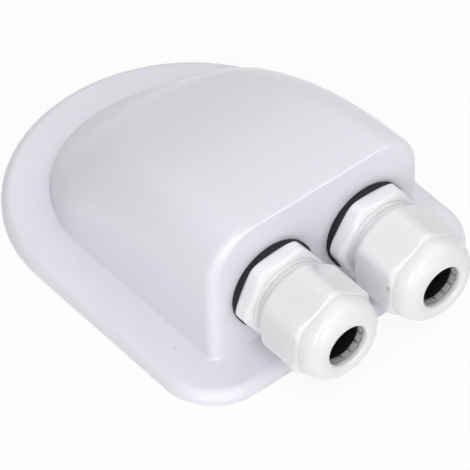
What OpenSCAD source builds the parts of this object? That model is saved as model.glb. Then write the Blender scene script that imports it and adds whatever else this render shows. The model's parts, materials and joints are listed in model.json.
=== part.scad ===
// Solar roof cable entry box
//
// A domed housing is glued to the roof of a van, boat or cabin over the hole that the cables use.
// Two screwed cable glands in its upright front wall seal round the cables of a solar panel.
// The front faces -Y, up is +Z, the origin is the middle of the footprint at roof level, in mm.

/* [Roof flange] */
// Width of the flange across the box
flange_w = 106; // [102:1:116]
// Length of the flange from its straight front edge to its round rear
flange_l = 127.5; // [125:0.5:136]
// Height of the flange above the roof
flange_t = 3.8; // [3:0.1:5]
// Radius of the two front corners of the flange
flange_corner_r = 17.5; // [8:0.5:26]
// Depth of the round rear of the flange, along the box
flange_rear_depth = 51; // [44:0.5:58]
// Radius of the upper edge of the flange
flange_edge_r = 3.4; // [1:0.1:4.5]
// Height of the upright edge below that radius, at the least
edge_land = 0.2; // [0.1:0.1:1]

/* [Housing] */
// Width of the housing where it meets the flange
body_w = 77; // [74:0.5:80]
// Length of the housing where it meets the flange
body_l = 99.5; // [96:0.5:104]
// Height of the front top edge above the roof
body_h = 47.8; // [44:0.2:56]
// Depth of the round rear of the housing, along the box
body_rear_depth = 38.5; // [36:0.5:44]
// Distance of the front wall behind the front edge of the flange
front_setback = 14; // [10:0.5:18]
// Thickness of the moulded walls
wall = 3; // [2.5:0.1:3.6]
// Lean of the side walls that frees the moulding from its tool, in degrees
draft = 0.5; // [0:0.1:3]
// Height of the roof line above the flange at the rear
roof_rear_h = 7.5; // [4:0.5:12]
// Bend of the roof line: 1 is straight, 2 a parabola
roof_power = 2.15; // [1.6:0.05:2.6]
// Radius between the roof and the sides at the front
shoulder_front_r = 14.5; // [8:0.5:16]
// Width of that rounding at the rear, where it is the long rear slope
shoulder_rear_r = 33; // [20:0.5:34]
// Bend of its growth from front to rear: 1 is straight, 2 a parabola
shoulder_power = 2.6; // [1:0.1:3]
// Radius of the upright front corners
corner_r = 3.5; // [2:0.1:5]
// Radius of the same corners inside
inner_corner_r = 0.6; // [0.4:0.1:2]
// Radius of the front top edge
brow_r = 1.2; // [0.5:0.1:2]
// Height of the upright wall below the rounding at the rear
rear_foot = 0.5; // [0.3:0.1:0.8]

/* [Cable glands] */
// Distance between the two gland axes
gland_pitch = 34.5; // [33.5:0.1:36]
// Height of the gland axes above the roof
gland_h = 22.8; // [21.5:0.1:25]
// Diameter of the gland thread that passes the wall
thread_d = 22.5; // [21.5:0.1:22.8]
// Length of the gland thread behind the hexagon
thread_l = 11; // [10.5:0.1:14]
// Width of the gland hexagons across the flats
hex_af = 27; // [26.6:0.1:28]
// Thickness of the hexagon
hex_t = 5.4; // [4.5:0.1:7]
// Height of the chamfer on the front of the hexagon
hex_chamfer = 1.1; // [0.5:0.1:1.8]
// Distance of that chamfer's inner edge inside the flats
hex_face_inset = 0.3; // [0.1:0.1:0.6]
// Length of the round land between the hexagon and the neck
land_t = 0.8; // [0.4:0.1:1.5]
// Diameter to which the hexagon corners are turned
hex_corner_d = 30.4; // [29:0.1:31]
// Diameter of the sealing washer
washer_d = 28.3; // [26.5:0.1:30]
// Thickness of the sealing washer
washer_t = 2.1; // [1:0.1:3]
// Width of the lock nut across the flats
lock_af = 27; // [26:0.5:28.5]
// Thickness of the lock nut
lock_t = 5; // [4:0.1:5.2]
// Diameter of the washer face on the lock nut
lock_face_d = 26.4; // [25:0.1:27]
// Thickness of the washer face on the lock nut
lock_face_t = 1.2; // [0.8:0.1:2]
// Turn of the left hexagon, in degrees
left_hex_turn = 3.8; // [-30:0.1:30]
// Turn of the right hexagon, in degrees
right_hex_turn = -3.7; // [-30:0.1:30]

/* [Dome nuts] */
// Diameter of the gland thread that carries the dome nut
neck_d = 22; // [21:0.1:22.4]
// Length of that thread
neck_l = 11.7; // [11:0.1:13]
// Gap between that land and the dome nut
nut_gap = 0.3; // [0.2:0.1:1.5]
// Diameter of the round rim at the rear of the dome nut
nut_rim_d = 24.2; // [23.8:0.1:25]
// Length of that rim
nut_rim_l = 1.6; // [1:0.1:2.5]
// Length of the dome nut up to the front of its flats
nut_hex_l = 18.9; // [18.5:0.1:21]
// Length of the chamfer between that rim and the flats
nut_lead_l = 2.4; // [1.5:0.1:3]
// Length of the chamfer between the flats and the dome
nut_step_l = 1.3; // [0.8:0.1:2]
// Diameter to which the corners of the dome nut are turned
nut_corner_d = 30.6; // [29:0.1:31]
// Diameter of the dome where it leaves the flats
dome_d = 26.4; // [26:0.1:26.6]
// Length of the dome in front of the flats
dome_l = 6.5; // [6:0.1:8]
// Diameter of the flat ring round the mouth
dome_face_d = 16.4; // [16:0.1:18]
// Diameter of the mouth
mouth_d = 13.4; // [13.2:0.1:14.6]
// Length of the mouth
mouth_l = 2; // [1.6:0.1:2.4]
// Rounding at the edge of the mouth
mouth_r = 1; // [0.4:0.1:1.1]
// Turn of the left dome nut, in degrees
left_nut_turn = 27; // [-30:1:30]
// Turn of the right dome nut, in degrees
right_nut_turn = 27; // [-30:1:30]

/* [Claws and seals] */
// Diameter of the cable passage through the gland
passage_d = 15.2; // [14.6:0.1:15.6]
// Diameter of the socket that holds the claw ring
socket_d = 19.2; // [18.8:0.1:19.4]
// Depth of that socket
socket_depth = 7; // [6:0.1:8]
// Diameter of the collar on the claw ring
collar_d = 21.2; // [20.8:0.1:21.4]
// Thickness of that collar
collar_t = 1.2; // [0.8:0.1:1.6]
// Number of claws
claw_count = 14; // [8:1:16]
// Width of the slots between the claws
claw_slot = 0.6; // [0.4:0.1:1.2]
// Height above the collar at which the slots begin
claw_root = 0.5; // [0.2:0.1:1]
// Wall of the claw ring
claw_wall = 1.1; // [0.9:0.1:1.2]
// Inner diameter at the claw tips
claw_tip_d = 13.4; // [13.1:0.1:13.5]
// Thickness of the claw tips
claw_tip_t = 0.8; // [0.6:0.1:0.9]
// Room between the claw tips and the rear of the mouth
claw_room = 1; // [0.6:0.1:1.4]
// Widening of the cone in the dome nut beyond the claws
cone_lead = 0.2; // [0.1:0.1:0.3]
// Diameter of the cable bore in the rubber seal
seal_bore_d = 12.4; // [11:0.1:12.5]
// Distance of the front of the seal behind the claw tips
seal_setback = 1.4; // [1.2:0.1:4]

/* [Fits] */
// Gap round the gland thread in the wall, the washer and the lock nut
thread_clearance = 0.1; // [0.05:0.01:0.2]
// Gap round what turns or slides in the gland
slide_clearance = 0.3; // [0.2:0.01:0.4]
// Gap between the faces that part when the dome nut is undone
face_clearance = 0.05; // [0.02:0.01:0.1]
// Gap between the rubber seal and the claws that hold it
seal_clearance = 0.1; // [0.05:0.01:0.2]

/* [Hidden] */
$fn = 96;
hex_to_round = cos(30);

// Distance by which a cut or a hidden joint of two shapes passes a face
cut = 1;

// Steps of the moulded surface: points along the outline, and rings up the edges
corner_steps = 6;
side_steps = 7;
rear_steps = 14;
edge_steps = 4;
shoulder_steps = 8;
inner_steps = 4;

// Heights along a gland axis, measured outwards from the front wall
hex_front = washer_t + hex_t;
land_front = hex_front + land_t;
neck_front = land_front + neck_l;
nut_rear = land_front + nut_gap;
nut_flats_front = nut_rear + nut_hex_l;
nut_front = nut_flats_front + dome_l;
mouth_rear = nut_front - mouth_l;
socket_floor = neck_front - socket_depth;
collar_rear = neck_front + face_clearance;
collar_front = collar_rear + collar_t;
claw_front = mouth_rear - claw_room;
claw_rear = socket_floor + face_clearance;
seal_front = claw_front - seal_setback;
seal_rear = claw_rear;

// Places in the plan
face_y = (nut_front + front_setback - flange_l) / 2;
flange_front = face_y - front_setback;
flange_rear = flange_front + flange_l;
body_rear = face_y + body_l;

// Heights of the moulding: radius of the flange's edge, and drop of the roof line to the rear
edge_r = min(flange_edge_r, flange_t - edge_land);
roof_fall = body_h - flange_t - roof_rear_h;

// Radii that follow from the fits
hole_r = thread_d / 2 + thread_clearance;
nut_bore_r = neck_d / 2 + slide_clearance;
claw_r = socket_d / 2 - slide_clearance;
claw_inner_r = claw_r - claw_wall;
claw_tip_r = claw_tip_d / 2;
cone_r = claw_r + slide_clearance + cone_lead;
cone_tip_r = claw_tip_r + claw_tip_t + slide_clearance;

// Height of the roof line above the roof of the vehicle, at a place along the box
function roof_line(y) = body_h - roof_fall * pow(max(0, (y - face_y) / body_l), roof_power);

// Width of the rounding between the roof and the side at a place along the box
function shoulder(y) = shoulder_front_r
    + (shoulder_rear_r - shoulder_front_r) * pow((y - face_y) / body_l, shoulder_power);

// Right half of a plan outline, as [x, y, inward normal x, inward normal y]:
// the front corner, the straight side and the round rear, which ends on the middle plane
function half_plan(w, front, rear, depth, corner) = concat(
    [for (i = [0:corner_steps])
        let (a = 90 * i / corner_steps - 90)
        [w / 2 - corner + corner * cos(a), front + corner + corner * sin(a), -1, 0]],
    [for (i = [1:side_steps])
        [w / 2, front + corner + (rear - depth - front - corner) * i / (side_steps + 1), -1, 0]],
    [for (i = [0:rear_steps])
        let (a = 90 * i / rear_steps, n = [cos(a) / (w / 2), sin(a) / depth])
        [w / 2 * cos(a), rear - depth + depth * sin(a), -n.x / norm(n), -n.y / norm(n)]]);

// Whole ring from its right half; the last point of the half lies on the middle plane
function mirrored(half) = concat(half,
    [for (i = [len(half) - 2:-1:0]) [-half[i].x, half[i].y, half[i].z]]);

// Ring of the flange, moved in from the outline and set at a height
function flange_ring(inset, z) = mirrored([
    for (p = half_plan(flange_w - 2 * inset, flange_front + inset, flange_rear - inset,
        flange_rear_depth - inset, flange_corner_r - inset)) [p.x, p.y, z]]);

// Half outline of the housing, or of its cavity one wall further in
function body_plan(in) = half_plan(body_w - 2 * in, face_y + in, body_rear - in,
    body_rear_depth - in, in > 0 ? inner_corner_r : corner_r);

// Ring of the housing at a height below the rounding
function foot_ring(in, z) = mirrored([for (p = body_plan(in)) [p.x, p.y, z]]);

// Ring of the rounding between side and roof: a is 0 at the side and 90 at the roof.
// The rounding narrows upwards where the roof comes close to the flange.
function shoulder_ring(in, a) = mirrored([
    for (p = body_plan(in))
        let (r = shoulder(p.y) - in,
            y = p.y + p[3] * r * (1 - cos(a)),
            rise = min(r, roof_line(y) - flange_t - rear_foot),
            z = roof_line(y) - in - rise * (1 - sin(a)),
            inset = r * (1 - cos(a)) + tan(draft) * (z - flange_t),
            over = max(0, z + in - body_h + brow_r),
            brow = p[3] == 0 ? brow_r - sqrt(max(0, brow_r * brow_r - over * over)) : 0,
            fade = max(0, 1 - (p.y - face_y - in) / (corner_r + brow_r)))
        [p.x + p[2] * inset, p.y + p[3] * inset + brow * fade, z]]);

// Shell from a stack of rings, closed at both ends across the middle plane
module ring_shell(rings) {
    n = len(rings[0]);
    m = (n - 1) / 2;
    top = (len(rings) - 1) * n;
    sides = [for (j = [0:len(rings) - 2], i = [0:n - 1])
        let (a = j * n + i, b = j * n + (i + 1) % n)
        each [[a, a + n, b + n], [a, b + n, b]]];
    inner_cap = concat(
        [for (k = [0:m - 2]) [k, k + 1, 2 * m - k - 1, 2 * m - k]],
        [[m - 1, m, m + 1]]);
    outer_cap = concat(
        [for (k = [0:m - 2]) [top + k, top + 2 * m - k, top + 2 * m - k - 1, top + k + 1]],
        [[top + m - 1, top + m + 1, top + m]]);
    polyhedron(points = [for (r = rings) each r], faces = concat(sides, inner_cap, outer_cap));
}

// Puts a part on a gland axis, with its own Z pointing out of the front wall
module at_gland(side) {
    translate([side * gland_pitch / 2, face_y, gland_h])
        rotate([90, 0, 0])
            children();
}

// Hexagon prism between two heights, with the corners along the local X axis
module hexagon(af, from, to) {
    translate([0, 0, from])
        cylinder(d = af / hex_to_round, h = to - from, $fn = 6);
}

// Round bar between two heights
module bar(r, from, to) {
    translate([0, 0, from])
        cylinder(r = r, h = to - from);
}

// Moulded housing: flange, dome and hollow inside in one piece, with two gland holes
module housing() {
    rings = concat(
        [for (i = [inner_steps:-1:0]) shoulder_ring(wall, 90 * i / inner_steps)],
        [foot_ring(wall, 0)],
        [flange_ring(0, 0)],
        [for (i = [0:edge_steps])
            let (a = 90 * i / edge_steps)
            flange_ring(edge_r * (1 - cos(a)), flange_t - edge_r * (1 - sin(a)))],
        [foot_ring(0, flange_t)],
        [for (i = [0:shoulder_steps]) shoulder_ring(0, 90 * i / shoulder_steps)]);
    color("whitesmoke")
        difference() {
            ring_shell(rings);
            for (side = [-1, 1])
                at_gland(side)
                    bar(hole_r, -wall - cut, cut);
        }
}

// Rubber washer between the front wall and the hexagon
module washer(side) {
    color("#2d2b37")
        at_gland(side)
            difference() {
                bar(washer_d / 2, 0, washer_t);
                bar(hole_r, -cut, washer_t + cut);
            }
}

// Gland body: thread through the wall, hexagon, and neck with the socket for the claws
module gland_body(side, turn) {
    color("white")
        at_gland(side)
            difference() {
                union() {
                    bar(thread_d / 2, washer_t - thread_l, washer_t + cut);
                    intersection() {
                        rotate([0, 0, turn])
                            hexagon(hex_af, washer_t, hex_front);
                        rotate_extrude()
                            polygon([[0, washer_t], [hex_corner_d / 2, washer_t],
                                [hex_corner_d / 2, hex_front - hex_chamfer],
                                [hex_af / 2 - hex_face_inset, hex_front], [0, hex_front]]);
                    }
                    bar(nut_rim_d / 2, hex_front - cut, land_front);
                    bar(neck_d / 2, land_front - cut, neck_front);
                }
                bar(passage_d / 2, washer_t - thread_l - cut, neck_front);
                bar(socket_d / 2, socket_floor, neck_front + cut);
            }
}

// Lock nut on the thread behind the front wall
module lock_nut(side) {
    color("gainsboro")
        at_gland(side)
            difference() {
                union() {
                    bar(lock_face_d / 2, -wall - lock_face_t - cut, -wall);
                    rotate([0, 0, 30])
                        hexagon(lock_af, -wall - lock_t, -wall - lock_face_t);
                }
                bar(hole_r, -wall - lock_t - cut, 0);
            }
}

// Claw ring: a sleeve in the socket, a collar on its rim and claws that bend in on the seal
module claw_ring(side) {
    tip_wall = claw_tip_r + claw_tip_t;
    color("lightgray")
        at_gland(side)
            difference() {
                rotate_extrude()
                    polygon([[claw_inner_r, claw_rear], [claw_r, claw_rear],
                        [claw_r, collar_rear], [collar_d / 2, collar_rear],
                        [collar_d / 2, collar_front], [claw_r, collar_front],
                        [tip_wall, claw_front], [claw_tip_r, claw_front],
                        [claw_inner_r, collar_front]]);
                for (i = [0:claw_count - 1])
                    rotate([0, 0, 360 * (i + 0.5) / claw_count])
                        translate([0, -claw_slot / 2, collar_front + claw_root])
                            cube([collar_d, claw_slot, claw_front]);
            }
}

// Rubber seal inside the claws, with the bore that grips the cable
module seal(side) {
    taper = (claw_inner_r - claw_tip_r) / (claw_front - collar_front);
    sleeve_r = claw_inner_r - seal_clearance;
    front_r = sleeve_r - taper * (seal_front - collar_front);
    color("#1c1b20")
        at_gland(side)
            difference() {
                rotate_extrude()
                    polygon([[0, seal_rear], [sleeve_r, seal_rear], [sleeve_r, collar_front],
                        [front_r, seal_front], [0, seal_front]]);
                bar(seal_bore_d / 2, seal_rear - cut, seal_front + cut);
            }
}

// Dome nut: round rim, chamfered flats for the spanner, and a dome with the cable mouth
module dome_nut(side, turn) {
    turned_r = nut_corner_d / 2;
    rim_front = nut_rear + nut_rim_l;
    arc = [for (i = [0:8])
        let (a = 90 * i / 8)
        [dome_face_d / 2 + (dome_d - dome_face_d) / 2 * cos(a), nut_flats_front + dome_l * sin(a)]];
    lip = [for (i = [0:4])
        let (a = 90 * i / 4)
        [mouth_d / 2 + mouth_r * (1 - sin(a)), nut_front - mouth_r * (1 - cos(a))]];
    color("white")
        at_gland(side)
            difference() {
                union() {
                    intersection() {
                        rotate([0, 0, turn])
                            hexagon(hex_af, nut_rear, nut_flats_front);
                        rotate_extrude()
                            polygon([[0, nut_rear], [nut_rim_d / 2, nut_rear],
                                [nut_rim_d / 2, rim_front], [turned_r, rim_front + nut_lead_l],
                                [turned_r, nut_flats_front - nut_step_l],
                                [dome_d / 2, nut_flats_front], [0, nut_flats_front]]);
                    }
                    rotate_extrude()
                        polygon(concat([[0, nut_flats_front - cut], [dome_d / 2, nut_flats_front - cut]],
                            arc, [[0, nut_front]]));
                }
                rotate_extrude()
                    polygon(concat([[0, nut_rear - cut], [nut_bore_r, nut_rear - cut],
                        [nut_bore_r, collar_front + slide_clearance],
                        [cone_r, collar_front + slide_clearance],
                        [cone_tip_r, claw_front + slide_clearance],
                        [mouth_d / 2, mouth_rear]],
                        [for (i = [4:-1:0]) lip[i]],
                        [[mouth_d / 2 + mouth_r, nut_front + cut], [0, nut_front + cut]]));
            }
}

module washer_left() { washer(-1); }
module washer_right() { washer(1); }
module gland_body_left() { gland_body(-1, left_hex_turn); }
module gland_body_right() { gland_body(1, right_hex_turn); }
module lock_nut_left() { lock_nut(-1); }
module lock_nut_right() { lock_nut(1); }
module claw_ring_left() { claw_ring(-1); }
module claw_ring_right() { claw_ring(1); }
module seal_left() { seal(-1); }
module seal_right() { seal(1); }
module dome_nut_left() { dome_nut(-1, left_nut_turn); }
module dome_nut_right() { dome_nut(1, right_nut_turn); }

housing();
washer_left();
gland_body_left();
lock_nut_left();
claw_ring_left();
seal_left();
dome_nut_left();
washer_right();
gland_body_right();
lock_nut_right();
claw_ring_right();
seal_right();
dome_nut_right();
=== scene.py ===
# %% [markdown]
# # A roof entry box for solar cables
# On a van or a boat, the cables of a solar panel go through the roof under a small white box like this one.
# The box is one glossy moulding that is glued down by its wide flange, and two screwed glands in its
# upright front wall seal round the cables. The solids were built first and carry the motion of the nuts.
# This lesson dresses them: it works out each visible skin as a surface over two parameters,
# finer than the solids, and gives each one the finish of the real material.

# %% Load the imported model
import json
import math
import bmesh
import bpy
import numpy as np
from mathutils import Matrix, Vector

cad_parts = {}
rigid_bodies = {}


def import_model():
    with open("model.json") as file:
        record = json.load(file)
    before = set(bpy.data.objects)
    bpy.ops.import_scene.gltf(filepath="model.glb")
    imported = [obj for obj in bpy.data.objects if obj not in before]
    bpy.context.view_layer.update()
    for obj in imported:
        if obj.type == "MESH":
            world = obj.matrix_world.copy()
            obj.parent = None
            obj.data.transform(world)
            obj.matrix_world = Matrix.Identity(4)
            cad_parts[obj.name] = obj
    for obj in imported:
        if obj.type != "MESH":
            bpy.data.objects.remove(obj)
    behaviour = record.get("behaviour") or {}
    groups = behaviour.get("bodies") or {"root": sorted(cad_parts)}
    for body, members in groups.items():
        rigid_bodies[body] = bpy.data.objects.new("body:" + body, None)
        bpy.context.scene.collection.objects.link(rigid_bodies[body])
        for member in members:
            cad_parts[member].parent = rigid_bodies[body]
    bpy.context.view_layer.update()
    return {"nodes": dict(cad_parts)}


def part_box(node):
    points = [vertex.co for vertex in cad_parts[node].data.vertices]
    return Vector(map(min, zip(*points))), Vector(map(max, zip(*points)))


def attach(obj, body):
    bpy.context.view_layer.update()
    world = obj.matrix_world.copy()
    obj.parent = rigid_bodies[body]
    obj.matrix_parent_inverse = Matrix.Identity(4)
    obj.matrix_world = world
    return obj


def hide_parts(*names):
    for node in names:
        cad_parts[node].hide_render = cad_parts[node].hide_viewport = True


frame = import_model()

MM = 0.001
FRONT_SETBACK = 14.0
FLANGE_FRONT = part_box("housing")[0][1] / MM
FACE_Y = FLANGE_FRONT + FRONT_SETBACK
print("solids:", sorted(frame["nodes"]))
print("front of the flange and of the housing in mm:", round(FLANGE_FRONT, 3), round(FACE_Y, 3))

# %% [markdown]
# ## The camera
# The photograph was taken from far away with a long lens, from the front left and well above.
# The view could be set by eye, but a camera fitted to the flange, the front wall and the glands is exact:
# two angles give its direction, a third its small tilt, and a shift in the picture plane its aim.
# All lengths in this lesson are in millimetres until a mesh is written, because the part is drawn in them.

# %% Camera at the photograph's angle
PICTURE_PX = 470
SENSOR = 36.0
LENS_PX = 5287.3
turn, height, tilt = np.radians([-38.12, 45.64, -2.06])
aim = np.array([0.0, FACE_Y + 56.0, 15.0])
away = 1526.9
aside, above = 12.21, -20.07

back = np.array([math.sin(turn) * math.cos(height), -math.cos(turn) * math.cos(height), math.sin(height)])
level = np.array([math.cos(turn), math.sin(turn), 0.0])
upright = np.cross(back, level)
right = level * math.cos(tilt) + upright * math.sin(tilt)
up = -level * math.sin(tilt) + upright * math.cos(tilt)
eye = aim + back * away + right * aside + up * above

lens = bpy.data.cameras.new("photo_lens")
lens.sensor_width = SENSOR
lens.lens = LENS_PX / PICTURE_PX * SENSOR
lens.clip_start, lens.clip_end = 0.1, 20.0
camera = bpy.data.objects.new("photo_camera", lens)
bpy.context.scene.collection.objects.link(camera)
axes = np.stack([right, up, back, eye * MM], 1)
camera.matrix_world = Matrix(axes.tolist() + [[0.0, 0.0, 0.0, 1.0]])
bpy.context.scene.camera = camera
print("lens in mm:", round(lens.lens, 1), "camera at m:", np.round(eye * MM, 3))

# %% [markdown]
# ## From a grid of points to a piece
# Every skin below is a sheet of points: rows run one way along it and columns the other.
# Blender could build the same forms from primitives and modifiers, but a formula shows where each point comes
# from, and a finer grid needs only another number. A piece is one or more sheets whose edges meet.
# Points that coincide are merged, so the seams close, and the faces are turned to point outwards.

# %% Sheets to pieces
SEAM = 2e-6


def sheet_faces(rows, columns, first):
    """Corner numbers of the four-sided faces of a rows x columns sheet: the point in row i and column j
    has the number first + i * columns + j, and each face joins it to its right, diagonal and next-row
    neighbours."""
    i, j = np.meshgrid(np.arange(rows - 1), np.arange(columns - 1), indexing="ij")
    corner = (first + i * columns + j).reshape(-1, 1)
    return corner + np.array([0, 1, columns + 1, columns])


def make_piece(name, sheets, body, node, finish, sharp=40.0):
    """Joins sheets, arrays of (rows, columns, xyz) in mm, into one closed mesh that rides on a body."""
    points = np.concatenate([s.reshape(-1, 3) for s in sheets]) * MM
    firsts = np.cumsum([0] + [s.shape[0] * s.shape[1] for s in sheets[:-1]])
    faces = np.concatenate([sheet_faces(s.shape[0], s.shape[1], f) for s, f in zip(sheets, firsts)])
    mesh = bpy.data.meshes.new(name)
    mesh.from_pydata(points.tolist(), [], faces.tolist())
    work = bmesh.new()
    work.from_mesh(mesh)
    bmesh.ops.remove_doubles(work, verts=work.verts, dist=SEAM)
    bmesh.ops.dissolve_degenerate(work, edges=work.edges, dist=SEAM / 4)
    bmesh.ops.recalc_face_normals(work, faces=work.faces)
    open_edges = sum(1 for e in work.edges if len(e.link_faces) != 2)
    volume = work.calc_volume(signed=True)
    if volume < 0:
        bmesh.ops.reverse_faces(work, faces=work.faces)
    work.to_mesh(mesh)
    work.free()
    mesh.shade_smooth()
    mesh.set_sharp_from_angle(angle=math.radians(sharp))
    mesh.materials.append(finish)
    piece = bpy.data.objects.new(name, mesh)
    bpy.context.scene.collection.objects.link(piece)
    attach(piece, body)
    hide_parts(node)
    print(f"{name}: {len(mesh.polygons)} faces, {open_edges} open edges, {abs(volume) * 1e6:.2f} cm3")


print("faces of a sheet with 3 rows and 4 columns:", len(sheet_faces(3, 4, 0)))

# %% [markdown]
# ## Writing shader maths as sums
# A finish is a small network of nodes. Wiring Math nodes by hand hides the formula, so one class wraps a
# node's output and lets Python's own signs build the network: `1 - mask` adds a Subtract node and links it.
# Any other node, such as a noise or a bump, comes from one method that takes its type, its settings and
# its inputs. A finish is a network with a Principled shader at its end.

# %% Wires


class Wire:
    """A node's output socket that can stand in a sum; each sign adds one Math node."""

    def __init__(self, network, socket):
        self.network = network
        self.socket = socket

    def other(self, name):
        """Another output of the same node."""
        return Wire(self.network, self.socket.node.outputs[name])

    def _math(self, operation, *values):
        return self.network.node("ShaderNodeMath", {"operation": operation}, dict(enumerate(values)))

    def __add__(self, other):
        return self._math("ADD", self, other)

    def __radd__(self, other):
        return self._math("ADD", other, self)

    def __sub__(self, other):
        return self._math("SUBTRACT", self, other)

    def __rsub__(self, other):
        return self._math("SUBTRACT", other, self)

    def __mul__(self, other):
        return self._math("MULTIPLY", self, other)

    def __rmul__(self, other):
        return self._math("MULTIPLY", other, self)

    def clamp(self, low, high):
        """The wire's value, held between two limits."""
        return self._math("MINIMUM", self._math("MAXIMUM", self, low), high)


print("a wire can be added, subtracted, multiplied and clamped")

# %% Networks


class Network:
    """A tree of nodes that grows by one method."""

    def __init__(self, owner):
        owner.use_nodes = True
        self.tree = owner.node_tree

    def node(self, kind, settings=None, sockets=None, out=0):
        """Adds a node: its settings come first, then the values or wires of its inputs. Gives back the wire
        of one output, or None for a node that has none."""
        made = self.tree.nodes.new(kind)
        for setting, value in (settings or {}).items():
            setattr(made, setting, value)
        for key, value in (sockets or {}).items():
            if isinstance(value, Wire):
                self.tree.links.new(value.socket, made.inputs[key])
            else:
                made.inputs[key].default_value = value
        return Wire(self, made.outputs[out]) if made.outputs else None


print("a network adds any node by one method")

# %% Finishes as networks
# places of the colour sockets on a Mix node
COLOUR_A, COLOUR_B, COLOUR_OUT = 6, 7, 2


class Finish(Network):
    """The material of one finish, with a Principled shader ready to be fed."""

    def __init__(self, name, roughness, **constants):
        self.material = bpy.data.materials.new(name)
        super().__init__(self.material)
        self.shader = self.tree.nodes["Principled BSDF"]
        self.shader.inputs["Roughness"].default_value = roughness
        for socket, value in constants.items():
            self.shader.inputs[socket.replace("_", " ")].default_value = value
        self.place = self.node("ShaderNodeTexCoord", out="Object")

    def feed(self, **wires):
        """Links wires to the shader's inputs."""
        for socket, wire in wires.items():
            self.tree.links.new(wire.socket, self.shader.inputs[socket.replace("_", " ")])

    def noise(self, per_mm, detail=2.0, roughness=0.5):
        """Noise from 0 to 1 with so many waves to the millimetre."""
        return self.node("ShaderNodeTexNoise", {"noise_dimensions": "3D"}, {
            "Vector": self.place, "Scale": per_mm / MM, "Detail": detail, "Roughness": roughness})

    def blend(self, share, first, second):
        """A colour that goes from first to second as share goes from 0 to 1."""
        return self.node("ShaderNodeMix", {"data_type": "RGBA"},
                         {"Factor": share, COLOUR_A: first, COLOUR_B: second}, out=COLOUR_OUT)

    def spot(self, centre_mm, radius_mm, soft_mm):
        """1 inside a small ball round a point, falling to 0 over the soft width."""
        centre = [c * MM for c in centre_mm]
        gap = self.node("ShaderNodeVectorMath", {"operation": "DISTANCE"},
                        {0: self.place, 1: centre}, out="Value")
        return ((radius_mm + soft_mm) * MM - gap).clamp(0.0, soft_mm * MM) * (1 / (soft_mm * MM))

    def bump(self, height, depth_mm):
        """A surface normal that follows a height from 0 to 1, which stands for so many millimetres."""
        return self.node("ShaderNodeBump", None, {
            "Strength": 1.0, "Distance": depth_mm * MM, "Height": height})


print("a finish can make noise, blends, spots and bumps")

# %% [markdown]
# ## The finishes
# The housing is injection-moulded ABS: a lilac-tinted white with a soft gloss under a thin clear shine, a
# trace of orange peel from the tool and a slight unevenness in the white. The glands are nylon, a more
# neutral white, smooth enough to mirror a lamp as a thin streak. Light sinks a little way into nylon, which
# softens its shading. The washers and seals are rubber, dark and matt. Each colour is written as it looks
# in plain light, except on the claws: they are the same white nylon, darkened to grey as painted shade for
# the depth of the mouths. Two small marks of this very part are kept: a speck in the flange, and on the right
# nut the beige stub where the nylon flowed into the tool. A painted image could hold them, but a soft ball
# round a point needs no image.

# %% Housing plastic
LILAC_WHITE = (0.852, 0.824, 0.905, 1.0)
LILAC_SHADE = (0.826, 0.796, 0.878, 1.0)
SPECK_GREY = (0.32, 0.30, 0.31, 1.0)
SPECK_AT, SPECK_R, SPECK_SOFT = (-43.3, FACE_Y + 11.7, 3.8), 0.15, 0.3
CLOUD_WAVES, HAZE_WAVES, PEEL_WAVES, PEEL_DEPTH = 0.02, 0.09, 0.5, 0.004
GLOSS_ROUGHNESS = 0.3

housing_finish = Finish("housing_abs_gloss", GLOSS_ROUGHNESS, IOR=1.46, Coat_Roughness=0.07)
clouds = housing_finish.noise(CLOUD_WAVES, 3.0)
haze = housing_finish.noise(HAZE_WAVES, 4.0, 0.6)
peel = housing_finish.noise(PEEL_WAVES)
speck = housing_finish.spot(SPECK_AT, SPECK_R, SPECK_SOFT)
lilac = housing_finish.blend(clouds, LILAC_WHITE, LILAC_SHADE)
housing_finish.feed(
    Base_Color=housing_finish.blend(speck * 0.7, lilac, SPECK_GREY),
    Roughness=GLOSS_ROUGHNESS + haze * 0.1,
    Coat_Weight=0.5 - haze * 0.2,
    Normal=housing_finish.bump(peel, PEEL_DEPTH))
print("housing finish:", len(housing_finish.tree.nodes), "nodes")

# %% Gland nylon
NYLON_WHITE = (0.842, 0.840, 0.857, 1.0)
NYLON_SHADE = (0.817, 0.814, 0.831, 1.0)
STUB_BEIGE = (0.40, 0.36, 0.27, 1.0)
STUB_AT, STUB_R, STUB_SOFT = (3.9, FACE_Y - 26.0, 25.4), 0.3, 0.8
MILK_WAVES, RIPPLE_WAVES, RIPPLE_DEPTH = 0.08, 0.3, 0.003
LIGHT_DEPTH = 3.0
# the same depth for red, green and blue, so that no edge glows red
EVEN_DEPTH = (1.0, 1.0, 1.0)

gland_finish = Finish("gland_nylon_satin", 0.06, IOR=1.53, Subsurface_Weight=0.7,
                      Subsurface_Scale=LIGHT_DEPTH * MM, Subsurface_Radius=EVEN_DEPTH)
cloud = gland_finish.noise(MILK_WAVES, 3.0)
ripple = gland_finish.noise(RIPPLE_WAVES, 1.0)
stub = gland_finish.spot(STUB_AT, STUB_R, STUB_SOFT)
nylon = gland_finish.blend(cloud, NYLON_WHITE, NYLON_SHADE)
gland_finish.feed(
    Base_Color=gland_finish.blend(stub * 0.7, nylon, STUB_BEIGE),
    Roughness=0.03 + cloud * 0.03,
    Normal=gland_finish.bump(ripple, RIPPLE_DEPTH))
print("nylon finish:", len(gland_finish.tree.nodes), "nodes")

# %% Claw nylon and the rubbers
# painted shade: the claws are white nylon, and these two greys paint the shade deep in the mouths
CLAW_PAINTED_SHADE_PALE = (0.66, 0.65, 0.64, 1.0)
CLAW_PAINTED_SHADE_DARK = (0.54, 0.53, 0.52, 1.0)
WASHER_DARK = (0.012, 0.011, 0.018, 1.0)
WASHER_PALE = (0.026, 0.024, 0.034, 1.0)
SEAL_DARK = (0.006, 0.006, 0.006, 1.0)
SEAL_PALE = (0.014, 0.014, 0.015, 1.0)
PATCH_WAVES, MATT_SHINE = 0.15, 0.15


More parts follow.
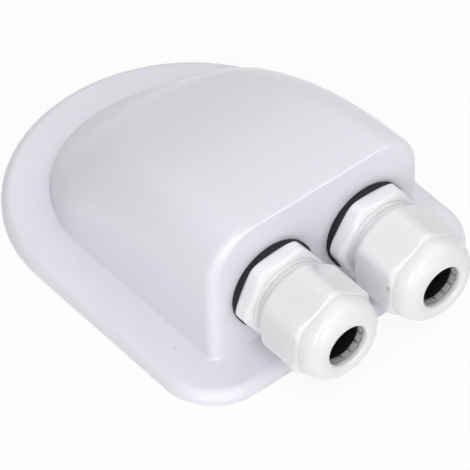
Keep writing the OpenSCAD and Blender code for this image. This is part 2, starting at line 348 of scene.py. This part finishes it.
def mottled(name, roughness, first, second, grain_mm, depth_mm):
    """A matt finish: two close colours in soft patches over a fine grain."""
    finish = Finish(name, roughness, Specular_IOR_Level=MATT_SHINE)
    patches = finish.noise(PATCH_WAVES, 3.0)
    grain = finish.noise(1 / grain_mm, 3.0, 0.6)
    finish.feed(
        Base_Color=finish.blend(patches, first, second),
        Roughness=roughness - 0.1 + grain * 0.2,
        Normal=finish.bump(grain, depth_mm))
    return finish


painted_shade_claw_finish = mottled("claw_nylon_matt_painted_shade", 0.5, CLAW_PAINTED_SHADE_PALE, CLAW_PAINTED_SHADE_DARK, 0.6, 0.006)
washer_finish = mottled("washer_rubber_matt", 0.55, WASHER_DARK, WASHER_PALE, 0.5, 0.012)
seal_finish = mottled("seal_rubber_matt", 0.5, SEAL_DARK, SEAL_PALE, 0.5, 0.012)
print("matt finishes ready")

# %% [markdown]
# ## The outline of the housing
# Seen from above, the housing and its flange have the same kind of outline: a straight front with round
# corners, straight sides, and a rear that is half an ellipse. It could be drawn as a Bezier curve, but one
# function gives the right half of any such outline, and the left half is its mirror image. With each point
# comes the direction in which the wall leans inwards.

# %% Half outline
FLANGE_W, FLANGE_L, FLANGE_T = 106.0, 127.5, 3.8
FLANGE_CORNER, FLANGE_REAR, FLANGE_EDGE = 17.5, 51.0, 3.4
BODY_W, BODY_L, BODY_H, BODY_REAR = 77.0, 99.5, 47.8, 38.5
WALL, LEAN = 3.0, math.tan(math.radians(0.5))
CORNER, INNER_CORNER, BROW = 3.5, 0.6, 0.6
CORNER_STEPS, SIDE_STEPS, REAR_STEPS = 14, 26, 44


def half_outline(width, front, rear, depth, corner):
    """Right half of an outline as rows of (x, y, lean x, lean y): a quarter circle at the front corner,
    points spread evenly along the side, and a quarter of an ellipse, whose lean is its inward normal."""
    a = np.radians(np.linspace(-90, 0, CORNER_STEPS + 1))
    bend = np.stack([width / 2 - corner + corner * np.cos(a), front + corner + corner * np.sin(a)], 1)
    y = np.linspace(front + corner, rear - depth, SIDE_STEPS + 2)[1:-1]
    side = np.stack([np.full_like(y, width / 2), y], 1)
    b = np.radians(np.linspace(0, 90, REAR_STEPS + 1))
    tail = np.stack([width / 2 * np.cos(b), rear - depth + depth * np.sin(b)], 1)
    normal = np.stack([np.cos(b) / (width / 2), np.sin(b) / depth], 1)
    normal /= np.linalg.norm(normal, axis=1, keepdims=True)
    lean = np.concatenate([np.tile([-1.0, 0.0], (len(bend) + len(side), 1)), -normal])
    return np.concatenate([np.concatenate([bend, side, tail]), lean], 1)


def flange_half(inset):
    """Half outline of the flange, moved in from its edge."""
    return half_outline(FLANGE_W - 2 * inset, FLANGE_FRONT + inset, FLANGE_FRONT + FLANGE_L - inset,
                        FLANGE_REAR - inset, FLANGE_CORNER - inset)


def body_half(inset):
    """Half outline of the housing at its foot, or of its hollow one wall further in."""
    return half_outline(BODY_W - 2 * inset, FACE_Y + inset, FACE_Y + BODY_L - inset, BODY_REAR - inset,
                        INNER_CORNER if inset > 0 else CORNER)


print("points in half an outline:", len(body_half(0.0)))

# %% [markdown]
# ## The dome
# The roof line leaves the front edge almost level and falls ever faster to the rear, close to the flange.
# A rounding leads from the roof into the sides and grows from 14.5 mm at the front to 33 mm at the rear,
# so the rear looks like part of an egg. A Bevel modifier keeps one width along an edge, so each level of the
# rounding is worked out as a ring instead: an angle of 0 degrees lies on the side wall and 90 degrees on
# the roof. Where the roof comes down to the flange, the rounding has less height to use.

# %% Rings of the dome
ROOF_REAR, ROOF_POWER = 7.5, 2.15
SHOULDER_FRONT, SHOULDER_REAR, SHOULDER_POWER, REAR_FOOT = 14.5, 33.0, 2.6, 0.5


def roof_line(y):
    """Height of the roof at a place along the box: the front height less a power law of the way to the
    rear."""
    fall = BODY_H - FLANGE_T - ROOF_REAR
    return BODY_H - fall * np.clip((y - FACE_Y) / BODY_L, 0.0, None) ** ROOF_POWER


def dome_half(inset, degrees):
    """Half ring of the rounding at one angle, as xyz: the outline moves in by r (1 - cos) and stands
    r (1 - sin) below the roof line; the front edge is rounded back by the brow radius."""
    x, y, lean_x, lean_y = body_half(inset).T
    s, c = math.sin(math.radians(degrees)), math.cos(math.radians(degrees))
    r = SHOULDER_FRONT + (SHOULDER_REAR - SHOULDER_FRONT) * ((y - FACE_Y) / BODY_L) ** SHOULDER_POWER - inset
    roof = roof_line(y + lean_y * r * (1 - c))
    rise = np.minimum(r, roof - FLANGE_T - REAR_FOOT)
    z = roof - inset - rise * (1 - s)
    move = r * (1 - c) + LEAN * (z - FLANGE_T)
    over = np.clip(z + inset - BODY_H + BROW, 0.0, BROW)
    brow = np.where(lean_y == 0, BROW - np.sqrt(BROW ** 2 - over ** 2), 0.0)
    fade = np.clip(1 - (y - FACE_Y - inset) / (CORNER + BROW), 0.0, None)
    return np.stack([x + lean_x * move, y + lean_y * move + brow * fade, z], 1)


def flat_half(half, z):
    """A half outline laid at one height, as xyz."""
    return np.concatenate([half[:, :2], np.full((len(half), 1), z)], 1)


def whole_ring(half):
    """The half ring and its mirror image, which share the point on the middle plane."""
    return np.concatenate([half, (half * [-1, 1, 1])[-2::-1]])


print("roof height at the rear in mm:", round(float(roof_line(FACE_Y + BODY_L)), 1))

# %% [markdown]
# ## The moulding as one closed skin
# A real moulding has one skin that runs up inside the hollow, across the underside of the flange, over its
# rounded edge and up the outside to the roof. The rings are stacked in that order, so two neighbouring rows
# make a strip of the skin. The rings stop at the front corners, and straight strips close the front.
# A small fillet is added where the housing meets the flange, as a moulding tool leaves it.

# %% Stack of rings
FOOT_FILLET = 0.7
DOME_STEPS, INNER_STEPS, EDGE_STEPS, FILLET_STEPS, WALL_STEPS = 36, 16, 14, 6, 24


def ruled(low, high, steps):
    """Rings between two half rings, evenly spaced, without the first."""
    return [low + (high - low) * k / steps for k in range(1, steps + 1)]


inside = [dome_half(WALL, a) for a in np.linspace(90, 0, INNER_STEPS + 1)]
inside_wall = ruled(inside[-1], flat_half(body_half(WALL), 0.0), WALL_STEPS)
edge = [flat_half(flange_half(0.0), 0.0)] + [
    flat_half(flange_half(FLANGE_EDGE * (1 - math.cos(a))), FLANGE_T - FLANGE_EDGE * (1 - math.sin(a)))
    for a in np.linspace(0, math.pi / 2, EDGE_STEPS + 1)]
fillet = [flat_half(body_half(-FOOT_FILLET * (1 - math.sin(a))), FLANGE_T + FOOT_FILLET * (1 - math.cos(a)))
          for a in np.linspace(0, math.pi / 2, FILLET_STEPS + 1)]
outside = [dome_half(0.0, a) for a in np.linspace(0, 90, DOME_STEPS + 1)]
outside_wall = ruled(fillet[-1], outside[0], WALL_STEPS)[:-1]
halves = np.array(inside + inside_wall + edge + fillet + outside_wall + outside)
rings = np.array([whole_ring(h) for h in halves])
first_inside = len(inside) - 1
last_inside = first_inside + WALL_STEPS
first_outside = last_inside + len(edge) + len(fillet)
last_outside = first_outside + WALL_STEPS
print("rings:", rings.shape, "rows of the inner wall:", first_inside, last_inside,
      "and of the outer:", first_outside, last_outside)

# %% [markdown]
# ## The front wall and its holes
# Each gland passes through a round hole in the front wall. A Boolean cut would leave long thin triangles, so
# each half of the wall is a fan instead: the points on its edge are joined to points on the circle in the
# same direction from the hole's centre. A short tube between the outer and the inner circle closes each hole.

# %% Strips and fans
FRONT_STEPS, FAN_STEPS = 48, 6
across = np.linspace(0.0, 1.0, FRONT_STEPS + 1)[:, None]


def front_strip(rows):
    """Straight strip between the left and right ends of some rings, with evenly spaced columns."""
    left, right_end = rows[:, -1][:, None], rows[:, 0][:, None]
    return left + (right_end - left) * across[None]


def wall_edge(strip, side):
    """Closed edge of the left or right half of a strip: along the foot, up the corner, back along the top and
    down the middle."""
    middle = FRONT_STEPS // 2
    columns = np.arange(middle, FRONT_STEPS + 1) if side > 0 else np.arange(middle, -1, -1)
    part = strip[:, columns]
    return np.concatenate([part[0], part[1:, -1], part[-1, -2::-1], part[-2::-1, 0]])


def wall_fan(edge_points, circle):
    """Sheet from a circle out to the edge: the point a share s of the way is circle + s (edge - circle)."""
    s = np.linspace(0.0, 1.0, FAN_STEPS + 1)[:, None, None]
    return circle[None] + s * (edge_points - circle)[None]


strips = front_strip(rings)
print("front strips:", strips.shape)

# %% Front wall
GLAND_X, GLAND_Z, HOLE_R = 17.25, 22.8, 11.35
outer_front = strips[first_outside - 1:last_outside]
inner_front = strips[first_inside:last_inside + 1][::-1]
sheets = [rings, strips[:first_inside + 1], strips[last_inside:first_outside], strips[last_outside - 1:]]
for side in (-1, 1):
    outer_edge, inner_edge = wall_edge(outer_front, side), wall_edge(inner_front, side)
    direction = np.arctan2(outer_edge[:, 2] - GLAND_Z, outer_edge[:, 0] - side * GLAND_X)
    circle = np.stack([side * GLAND_X + HOLE_R * np.cos(direction), np.full_like(direction, FACE_Y),
                       GLAND_Z + HOLE_R * np.sin(direction)], 1)
    inner_circle = circle + [0, WALL, 0]
    sheets += [wall_fan(outer_edge, circle), wall_fan(inner_edge, inner_circle),
               np.stack([circle, inner_circle])]
    print("hole", side, "edge points:", len(outer_edge), len(inner_edge))

# %% Roof and ceiling
HOUSING_SHARP = 35.0
roof_right, roof_left = halves[-1][:, None], (halves[-1] * [-1, 1, 1])[:, None]
ceiling_right, ceiling_left = halves[0][:, None], (halves[0] * [-1, 1, 1])[:, None]
sheets += [roof_left + (roof_right - roof_left) * across[None],
           ceiling_left + (ceiling_right - ceiling_left) * across[None]]
make_piece("housing_shell", sheets, "base", "housing", housing_finish.material, HOUSING_SHARP)

# %% [markdown]
# ## Skins of revolution with flats
# The gland parts are turned shapes with six flats. A lathe and a milling cutter would make them in two
# steps; here both are in one formula. A profile gives a radius and a height along the axis, and at each
# angle the skin takes the smaller of that radius and the distance to a hexagon with rounded corners. A soft
# minimum rounds the edge between the two, as on the real moulding.

# %% Turned skins
SIDES = {"left": -1, "right": 1}


def around(steps):
    """Angles of a full turn, with the first repeated at the end to close the seam."""
    return np.linspace(0.0, 2 * math.pi, steps + 1)


def on_gland(side, radius, angle, height):
    """Points at a radius, an angle from +X towards +Z and a height out of the front wall, on one gland's
    axis."""
    return np.stack([side * GLAND_X + radius * np.cos(angle), FACE_Y - height + 0 * radius,
                     GLAND_Z + radius * np.sin(angle)], -1)


def hexagon(angle, flats, corner, turned):
    """Distance from the axis to a hexagon: flats / 2 over the cosine of the angle from the nearest flat's
    middle, and near a corner the far side of a circle of the corner radius that touches both flats."""
    from_corner = (angle - turned + math.pi / 6) % (math.pi / 3) - math.pi / 6
    centre = (flats / 2 - corner) / math.cos(math.pi / 6)
    reach = math.pi / 6 - math.atan((flats / 2 - corner) * math.tan(math.pi / 6) / (flats / 2))
    flat = flats / 2 / np.cos(np.abs(from_corner) - math.pi / 6)
    inside_root = np.clip(corner ** 2 - (centre * np.sin(from_corner)) ** 2, 0.0, None)
    rounded = centre * np.cos(from_corner) + np.sqrt(inside_root)
    return np.where(np.abs(from_corner) < reach, rounded, flat)


def soft_min(a, b, width):
    """The smaller of two lengths a and b: b + (a - b) share - width share (1 - share), where the share goes
    from 0 to 1 as b grows from a - width to a + width, so the kink between them is rounded."""
    share = np.clip(0.5 + 0.5 * (b - a) / width, 0.0, 1.0)
    return b + (a - b) * share - width * share * (1 - share)


def arc(centre, radius, start, end, steps):
    """Profile points (radius, height) on a circle or ellipse from one angle to another, in degrees."""
    a = np.radians(np.linspace(start, end, steps + 1))
    return np.array(centre) + np.array(radius) * np.stack([np.cos(a), np.sin(a)], 1)


def line(start, end, steps):
    """Profile points on a straight line, without the first."""
    t = np.linspace(0.0, 1.0, steps + 1)[1:, None]
    return np.array(start) + (np.array(end) - np.array(start)) * t


sample = 2 * float(hexagon(np.array(0.0), 27.0, 2.0, 0.0))
print("a 27 mm hexagon with 2 mm corners measures", round(sample, 2), "mm over its corners")

# %% [markdown]
# ## The rubber washers
# A washer is squeezed between the wall and the hexagon, so its edge bulges a little and has no sharp corners.
# Its profile is a closed loop, rounded at the two outer corners and turned once round the axis. A torus
# would be too round, and a plain cylinder too sharp.

# %% Washers
WASHER_R, WASHER_T, WASHER_EDGE, WASHER_STEPS = 14.15, 2.1, 0.45, 128
inner_r, edge_in = HOLE_R, WASHER_R - WASHER_EDGE
washer_profile = np.concatenate([
    [[inner_r, 0.0]], line((inner_r, 0.0), (edge_in, 0.0), 4),
    arc((edge_in, WASHER_EDGE), WASHER_EDGE, -90, 0, 6)[1:],
    line((WASHER_R, WASHER_EDGE), (WASHER_R, WASHER_T - WASHER_EDGE), 3),
    arc((edge_in, WASHER_T - WASHER_EDGE), WASHER_EDGE, 0, 90, 6)[1:],
    line((edge_in, WASHER_T), (inner_r, WASHER_T), 4), line((inner_r, WASHER_T), (inner_r, 0.0), 3)])
for label, side in SIDES.items():
    angle = around(WASHER_STEPS)[None]
    skin = on_gland(side, washer_profile[:, :1] + 0 * angle, angle, washer_profile[:, 1:])
    make_piece(f"washer_{label}_ring", [skin], "base", f"washer_{label}",
               washer_finish.material)

# %% [markdown]
# ## The gland bodies
# The rear thread passes through the wall, the hexagon takes a spanner, and the front thread carries the
# dome nut. A low land and a collar in front of the hexagon leave only a shallow joint behind the nut.
# The threads show when a nut is undone and from below. A Screw modifier could turn them, but here they are
# grooves in the same skin: the radius of a thread falls and rises with a cosine of the height less one
# pitch for each turn, which makes a right-hand screw.

# %% Profile of the gland bodies
THREAD_R, NECK_R, PITCH, GROOVE, THREAD_CHAMFER = 11.25, 11.0, 1.41, 0.55, 0.8
THREAD_END, HEX_REAR, HEX_FRONT, LAND_FRONT, NECK_FRONT = -8.9, 2.1, 7.5, 8.3, 20.0
PASSAGE_R, SOCKET_R, SOCKET_FLOOR = 7.6, 9.6, 13.0
LAND_R, LAND_EDGE, COLLAR_R, COLLAR_FRONT = 12.1, 0.3, 11.7, 8.5
# radii of the hexagon's foot, of its turned blank, which clears the corners, and of its front face
HEX_FOOT_R, HEX_BLANK_R, HEX_FACE_R = 14.6, 15.6, 13.0
HEX_FOOT, HEX_BEVEL = 0.5, 1.4
ROWS_PER_PITCH = 10


def thread_profile(radius, start, end, lead_start, lead_end):
    """Profile of a plain thread cylinder: the radius, less the chamfer at an end that asks for one, from
    where it grows by the distance from that end."""
    heights = np.append(np.arange(start, end, PITCH / ROWS_PER_PITCH), end)
    from_start = np.where(lead_start, heights - start, np.inf)
    from_end = np.where(lead_end, end - heights, np.inf)
    lead = np.minimum(from_start, from_end)
    return np.stack([np.minimum(radius, radius - THREAD_CHAMFER + lead), heights], 1)


rear_thread = thread_profile(THREAD_R, THREAD_END, HEX_REAR, True, False)
neck_thread = thread_profile(NECK_R, COLLAR_FRONT, NECK_FRONT, False, True)
hex_side = np.concatenate([
    line((THREAD_R, HEX_REAR), (HEX_FOOT_R, HEX_REAR), 6),
    line((HEX_FOOT_R, HEX_REAR), (HEX_BLANK_R, HEX_REAR + HEX_FOOT), 4),
    line((HEX_BLANK_R, HEX_REAR + HEX_FOOT), (HEX_BLANK_R, HEX_FRONT - HEX_BEVEL), 10),
    line((HEX_BLANK_R, HEX_FRONT - HEX_BEVEL), (HEX_FACE_R, HEX_FRONT), 14),
    line((HEX_FACE_R, HEX_FRONT), (LAND_R, HEX_FRONT), 3),
    line((LAND_R, HEX_FRONT), (LAND_R, LAND_FRONT - LAND_EDGE), 3),
    arc((LAND_R - LAND_EDGE, LAND_FRONT - LAND_EDGE), LAND_EDGE, 0, 90, 5)[1:],
    line((COLLAR_R, LAND_FRONT), (COLLAR_R, COLLAR_FRONT), 2),
    line((COLLAR_R, COLLAR_FRONT), (NECK_R, COLLAR_FRONT), 2)])
inner_way = np.concatenate([
    line((NECK_R - THREAD_CHAMFER, NECK_FRONT), (SOCKET_R, NECK_FRONT), 2),
    line((SOCKET_R, NECK_FRONT), (SOCKET_R, SOCKET_FLOOR), 6),
    line((SOCKET_R, SOCKET_FLOOR), (PASSAGE_R, SOCKET_FLOOR), 3),
    line((PASSAGE_R, SOCKET_FLOOR), (PASSAGE_R, THREAD_END), 10),
    line((PASSAGE_R, THREAD_END), (THREAD_R - THREAD_CHAMFER, THREAD_END), 3)])
body_profile = np.concatenate([rear_thread, hex_side, neck_thread[1:], inner_way])
print("points in the profile of a gland body:", len(body_profile))

# %% Gland bodies
HEX_FLATS, HEX_CORNER, HEX_BLEND, BODY_STEPS = 27.0, 2.5, 2.0, 192
HEX_TURN = {"left": 3.8, "right": -3.7}
# rows of the rear thread at the washer, where the groove has run out
RUN_OUT = 4
plain_rear = np.arange(len(rear_thread)) >= len(rear_thread) - RUN_OUT
threaded = np.concatenate([np.where(plain_rear, 0.0, 1.0), np.zeros(len(hex_side)),
                           np.ones(len(neck_thread) - 1), np.zeros(len(inner_way))])[:, None]
for label, side in SIDES.items():
    angle = around(BODY_STEPS)[None]
    radius, height = body_profile[:, :1], body_profile[:, 1:]
    six = hexagon(angle, HEX_FLATS, HEX_CORNER, math.radians(HEX_TURN[label]))
    groove = GROOVE * (0.5 - 0.5 * np.cos(2 * math.pi * height / PITCH - angle)) * threaded
    skin = on_gland(side, soft_min(radius, six, HEX_BLEND) - groove, angle, height)
    make_piece(f"gland_{label}_body", [skin], "base", f"gland_body_{label}",
               gland_finish.material)

# %% [markdown]
# ## The dome nuts
# Of the glands, this is the part that takes the most skill: a round rim, a cone that the six flats cut into
# crescents, a small step, and a dome that runs into the rounded mouth. Boolean cuts could shape it, but they
# leave hard edges. Here the cone, the flats and the dome are one profile and one hexagon in the soft
# minimum, so their edges meet in the same curves as on the real nut.

# %% Profile of the dome nuts
NUT_REAR, RIM_FRONT, LEAD_FRONT = 8.6, 10.2, 12.6
STEP_REAR, FLATS_FRONT, NUT_FRONT = 26.2, 27.5, 34.0
RIM_R, RIM_EDGE, TURNED_R, DOME_R, FACE_R, MOUTH_R, LIP = 12.1, 0.3, 15.6, 13.55, 8.2, 6.7, 1.0
CREASE, CONE_OVER = 0.1, 0.2
BORE_R, BORE_END, CONE_R, CONE_TIP_R, CONE_TIP, MOUTH_REAR = 11.3, 21.55, 9.8, 7.8, 31.3, 32.0

nut_outside = np.concatenate([
    [[BORE_R, NUT_REAR]], line((BORE_R, NUT_REAR), (RIM_R - RIM_EDGE, NUT_REAR), 2),
    arc((RIM_R - RIM_EDGE, NUT_REAR + RIM_EDGE), RIM_EDGE, -90, 0, 5)[1:],
    line((RIM_R, NUT_REAR + RIM_EDGE), (RIM_R, RIM_FRONT), 5),
    line((RIM_R, RIM_FRONT), (TURNED_R, LEAD_FRONT + CONE_OVER), 24),
    line((TURNED_R, LEAD_FRONT + CONE_OVER), (TURNED_R, STEP_REAR), 14),
    line((TURNED_R, STEP_REAR), (DOME_R - CREASE, FLATS_FRONT - CREASE), 18),
    line((DOME_R - CREASE, FLATS_FRONT - CREASE), (DOME_R, FLATS_FRONT), 3),
    arc((FACE_R, FLATS_FRONT), (DOME_R - FACE_R, NUT_FRONT - FLATS_FRONT), 0, 90, 26)[1:]])
nut_inside = np.concatenate([
    arc((MOUTH_R + LIP, NUT_FRONT - LIP), LIP, 90, 180, 8),
    line((MOUTH_R, NUT_FRONT - LIP), (MOUTH_R, MOUTH_REAR), 3),
    line((MOUTH_R, MOUTH_REAR), (CONE_TIP_R, CONE_TIP), 2),
    line((CONE_TIP_R, CONE_TIP), (CONE_R, BORE_END), 8),
    line((CONE_R, BORE_END), (BORE_R, BORE_END), 2), line((BORE_R, BORE_END), (BORE_R, NUT_REAR), 10)])
nut_profile = np.concatenate([nut_outside, nut_inside])
print("points in the profile of a dome nut:", len(nut_profile))

# %% Dome nuts
NUT_CORNER, NUT_BLEND, NUT_STEPS = 3.5, 1.4, 240
NUT_TURN = {"left": 26.0, "right": 27.0}
for label, side in SIDES.items():
    angle = around(NUT_STEPS)[None]
    radius, height = nut_profile[:, :1], nut_profile[:, 1:]
    six = hexagon(angle, HEX_FLATS, NUT_CORNER, math.radians(NUT_TURN[label]))
    skin = on_gland(side, soft_min(radius, six, NUT_BLEND), angle, height)
    make_piece(f"dome_nut_{label}_cap", [skin], f"nut_{label}", f"dome_nut_{label}",
               gland_finish.material)

# %% [markdown]
# ## The lock nuts
# Behind the wall a flat nut holds each gland. It is seen only from below, and its solid would do, but its
# skin costs one short profile: it is made like the others, turned and cut by a hexagon with rounded corners.

# %% Lock nuts
LOCK_FRONT, LOCK_FACE, LOCK_REAR, LOCK_FACE_R = -3.0, -4.2, -8.0, 13.2
LOCK_SLOPE, LOCK_BEVEL, LOCK_TURN, LOCK_BLEND, LOCK_STEPS = 0.3, 1.0, 30.0, 0.35, 144
lock_profile = np.concatenate([
    [[HOLE_R, LOCK_FRONT]], line((HOLE_R, LOCK_FRONT), (LOCK_FACE_R, LOCK_FRONT), 2),
    line((LOCK_FACE_R, LOCK_FRONT), (LOCK_FACE_R, LOCK_FACE), 3),
    line((LOCK_FACE_R, LOCK_FACE), (HEX_BLANK_R, LOCK_FACE - LOCK_SLOPE), 6),
    line((HEX_BLANK_R, LOCK_FACE - LOCK_SLOPE), (HEX_BLANK_R, LOCK_REAR + LOCK_BEVEL), 6),
    line((HEX_BLANK_R, LOCK_REAR + LOCK_BEVEL), (LOCK_FACE_R, LOCK_REAR), 8),
    line((LOCK_FACE_R, LOCK_REAR), (HOLE_R, LOCK_REAR), 2),
    line((HOLE_R, LOCK_REAR), (HOLE_R, LOCK_FRONT), 4)])
for label, side in SIDES.items():
    angle = around(LOCK_STEPS)[None]
    six = hexagon(angle, HEX_FLATS, HEX_CORNER, math.radians(LOCK_TURN))
    skin = on_gland(side, soft_min(lock_profile[:, :1], six, LOCK_BLEND), angle, lock_profile[:, 1:])
    make_piece(f"lock_nut_{label}_ring", [skin], "base", f"lock_nut_{label}",
               gland_finish.material)

# %% [markdown]
# ## Claws and seals
# The claw rings and the rubber seals sit deep in the mouths. Skins could be made for them too, but their
# solids already have the right shape, so they stay as they are and only take their finish. The claws are
# the glands' white nylon, and their grey finish is painted shade for the depth of the mouths.

# %% Finish of the claws and the seals
for label in SIDES:
    for node, finish in ((f"claw_ring_{label}", painted_shade_claw_finish), (f"seal_{label}", seal_finish)):
        solid = frame["nodes"][node]
        solid.data.materials.clear()
        solid.data.materials.append(finish.material)
print("claws and seals finished")

# %% [markdown]
# ## Floor and light
# The box was photographed on white, in soft light that is strongest from above. An evenly white world could
# light it alone, but then every wall would have the same tone. So the world gives only a little even light,
# six large lamps shade the walls, and two tall, narrow strips are mirrored as the pair of thin streaks on
# the domes of the nuts. The floor is a plain pale sheet that keeps a faint shadow. To the camera and to
# reflections the background is plain white.

# %% World and floor
TENT_LIGHT, FLOOR_WHITE, FLOOR_GLOW, FLOOR_REACH, FLOOR_DROP = 0.1, 0.95, 0.89, 3.0, 0.0002
WHITE = (1.0, 1.0, 1.0, 1.0)


def seen_directly(network):
    """1 for a ray that shows the background to the camera or in a reflection, 0 for one that only lights."""
    rays = network.node("ShaderNodeLightPath", out="Is Camera Ray")
    return (rays + rays.other("Is Glossy Ray") + rays.other("Is Transmission Ray")).clamp(0.0, 1.0)


world = bpy.data.worlds.new("light_tent")
bpy.context.scene.world = world
tent = Network(world)
tent.tree.nodes.clear()
strength = TENT_LIGHT + seen_directly(tent) * (1.0 - TENT_LIGHT)
tent_shell = tent.node("ShaderNodeBackground", None, {"Color": WHITE, "Strength": strength})
tent.node("ShaderNodeOutputWorld", None, {"Surface": tent_shell})

floor_mesh = bpy.data.meshes.new("floor")
corners = np.array([(-1, -1), (1, -1), (1, 1), (-1, 1)]) * FLOOR_REACH
floor_mesh.from_pydata([(x, y, -FLOOR_DROP) for x, y in corners.tolist()], [], [(0, 1, 2, 3)])
floor = bpy.data.objects.new("floor", floor_mesh)
bpy.context.scene.collection.objects.link(floor)
floor_paper = bpy.data.materials.new("pale_floor")
paper = Network(floor_paper)
paper.tree.nodes.clear()
matt = paper.node("ShaderNodeBsdfDiffuse", None, {"Color": (FLOOR_WHITE, FLOOR_WHITE, FLOOR_WHITE, 1.0)})
glow = paper.node("ShaderNodeEmission", None, {"Color": WHITE, "Strength": 1.0})
sheet = paper.node("ShaderNodeMixShader", None, {0: seen_directly(paper) * FLOOR_GLOW, 1: matt, 2: glow})
paper.node("ShaderNodeOutputMaterial", None, {"Surface": sheet})
floor_mesh.materials.append(floor_paper)
print("floor and world ready")

# %% Lamps


def soft_lamp(name, bearing, height, distance, size, power):
    """A rectangular area lamp that faces the box from a bearing, in degrees from the front towards the right,
    and a height in degrees above the floor."""
    b, h = math.radians(bearing), math.radians(height)
    z = np.array([math.sin(b) * math.cos(h), -math.cos(b) * math.cos(h), math.sin(h)])
    x = np.array([math.cos(b), math.sin(b), 0.0])
    data = bpy.data.lights.new(name, "AREA")
    data.shape, data.energy = "RECTANGLE", power
    data.size, data.size_y = size
    lamp = bpy.data.objects.new(name, data)
    bpy.context.scene.collection.objects.link(lamp)
    pose = np.stack([x, np.cross(z, x), z, z * distance], 1)
    lamp.matrix_world = Matrix(pose.tolist() + [[0.0, 0.0, 0.0, 1.0]])
    print(name, "at m:", np.round(z * distance, 2))


soft_lamp("top_lamp", 10, 78, 1.2, (1.6, 1.5), 7.6)
soft_lamp("left_lamp", -48, 36, 1.3, (1.9, 1.5), 3.4)
soft_lamp("front_lamp", 0, 32, 1.3, (1.5, 1.2), 1.0)
soft_lamp("low_lamp", -25, 15, 1.3, (1.6, 0.6), 1.7)
soft_lamp("right_lamp", 80, 45, 1.3, (1.0, 0.9), 2.4)
soft_lamp("back_lamp", 160, 50, 1.3, (1.4, 1.2), 1.8)
soft_lamp("left_strip", -59, 34, 1.1, (0.08, 1.5), 2.2)
soft_lamp("front_strip", -30, 34, 1.1, (0.08, 1.5), 2.2)
bpy.context.scene.view_settings.view_transform = "Standard"
